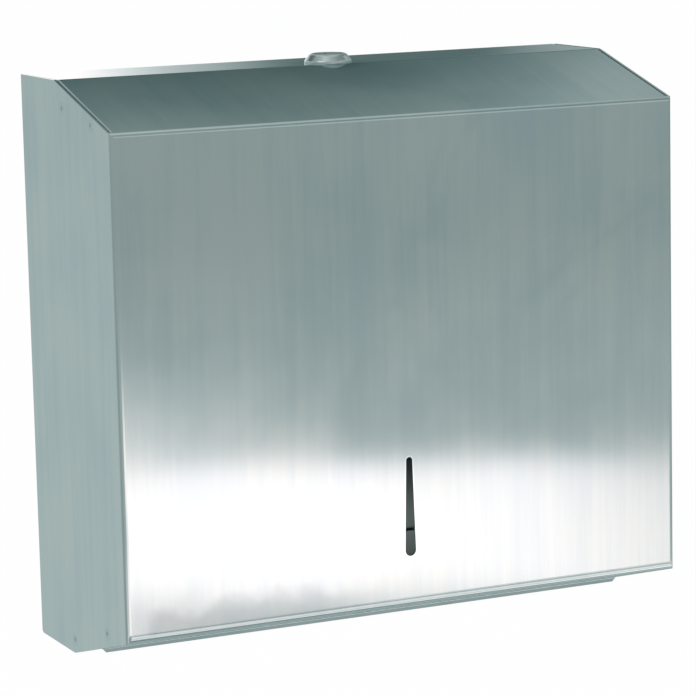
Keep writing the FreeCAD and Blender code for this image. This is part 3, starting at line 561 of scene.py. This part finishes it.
# The cover's shades include painted shade round the lock and painted highlights on its bends and slot rim.
additions = {
    "coverSteel": {"extraHeight": coverHeight,
                   "extraShades": (smudgeMarks, lowDarkPatchMarks, paintedHighlightMarks, weldMarksAndLockShade)},
    # The sheet steel's lower coat is partly painted light.
    "sheetSteel": {"coatAndLight": coatAndPaintedLight},
}
finishes = {}
for name, look in looks.items():
    finishes[name] = makeMetal(name, {**baseLook, **look}, **additions.get(name, {}))
finishNodes = {
    "coverSteel": ["front_cover"],
    "sheetSteel": ["back_plate", "towel_guide_right", "towel_guide_left", "towel_tray", "lock_strike"],
    "drawnSteel": ["hinge_wall_leaf", "hinge_cover_leaf", "hinge_pin"],
    "rivetSteel": ["tray_rivets", "strike_rivets"],
    "lockChrome": ["lock_cap", "lock_plug"],
    "castPlate": ["lock_housing"],
    "zincPlate": ["lock_washer", "lock_nut", "stop_washer", "lock_cam", "cam_washer", "cam_screw"],
}
for finish, nodes in finishNodes.items():
    for name in nodes:
        slots = cadNodes[name].data.materials
        slots.clear()
        slots.append(finishes[finish])
print("metals set")


# Closed mesh from a grid of points, rows by columns by xyz. Columns join into a ring. Rows do too if looped,
# and otherwise a flat face closes the first row and another the last.
def gridMesh(name, points, looped, finish, body):
    rows, columns = points.shape[:2]
    last = rows if looped else rows - 1
    low = np.arange(last)[:, None] * columns
    high = (np.arange(last)[:, None] + 1) % rows * columns
    here = np.arange(columns)[None, :]
    after = (here + 1) % columns
    quads = np.stack([low + here, low + after, high + after, high + here], axis=-1).reshape(-1, 4)
    faces = quads.tolist()
    if not looped:
        faces.append(here[0, ::-1].tolist())
        faces.append((here[0] + (rows - 1) * columns).tolist())
    made = bpy.data.meshes.new(name)
    made.from_pydata(points.reshape(-1, 3).tolist(), [], faces)
    made.validate()
    made.shade_smooth()
    made.materials.append(finishes[finish])
    piece = bpy.data.objects.new(name, made)
    scene.collection.objects.link(piece)
    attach(piece, body)


# Lengths in metres. A ridge's share of its height is tip less steep times the distance from its middle in
# pitches, kept between 0 and 1.
barrelThread = {"depth": -0.0335, "low": 0.1141, "high": 0.1260, "pitch": 0.001, "root": 0.00796,
                "crest": 0.00828, "tip": 1.6, "steep": 3.6, "core": 0.0074, "flat": 0.00699, "wall": 0.0004,
                "around": 120, "perTurn": 10}


# Thread on the lock's barrel: a radius that rises and falls along z and slips one pitch each turn, cut off at
# the flats, with an inner wall inside the barrel that closes it.
def makeBarrelThread():
    size = barrelThread
    turns = (size["high"] - size["low"]) / size["pitch"]
    z = np.linspace(size["low"], size["high"], int(turns * size["perTurn"]) + 1)[:, None]
    angle = np.linspace(0, 2 * np.pi, size["around"], endpoint=False)[None, :]
    flatAway = size["flat"] / np.maximum(np.abs(np.cos(angle)), 1e-6)
    phase = np.mod((z - size["low"]) / size["pitch"] - angle / (2 * np.pi), 1.0)
    ridge = np.clip(size["tip"] - size["steep"] * np.abs(phase - 0.5), 0.0, 1.0)
    runOut = np.clip(np.minimum(z - size["low"], size["high"] - z) / size["pitch"], 0.0, 1.0)
    radius = np.minimum(size["root"] + (size["crest"] - size["root"]) * ridge * runOut, flatAway)
    core = np.minimum(size["core"], flatAway - size["wall"]) + 0 * z[[0, -1]]

    def turned(radius, z):
        away = size["depth"] + radius * np.sin(angle)
        return np.stack([radius * np.cos(angle), away, z + 0 * angle], axis=-1)

    points = np.concatenate([turned(radius, z), turned(core, z[[-1, 0]])])
    gridMesh("lock_barrel_thread", points, True, "castPlate", "cover")


makeBarrelThread()


guideWelds = {"across": 0.1265, "face": -0.002, "heights": (-0.078, -0.026, 0.034, 0.092),
              "radius": 0.0030, "rim": 0.00014, "sink": 0.0002, "around": 28,
              "shares": (0.1, 0.35, 0.62, 0.76, 0.88, 1.0), "rises": (0.30, 0.32, 0.45, 1.0, 0.55, 0.02)}


# Spot welds that hold the guides' feet: a low rim round a flat middle, turned about the y axis, closed in the
# sheet. Shares are of the radius and rises of the rim's height.
def makeGuideWelds():
    size = guideWelds
    radius = size["radius"] * np.array([*size["shares"], 1.0])[:, None]
    lift = np.array([*(rise * size["rim"] for rise in size["rises"]), -size["sink"]])[:, None]
    angle = np.linspace(0, 2 * np.pi, size["around"], endpoint=False)[None, :]
    depth = size["face"] - lift + 0 * angle
    ring = np.stack([radius * np.cos(angle), depth, -radius * np.sin(angle)], axis=-1)
    for side, label in ((1, "right"), (-1, "left")):
        for count, height in enumerate(size["heights"]):
            place = np.array([side * size["across"], 0.0, height])
            name = "guide_weld_%s_%d" % (label, count + 1)
            gridMesh(name, ring + place, False, "weldTint", "wall_unit")


makeGuideWelds()
print("threads and welds made")
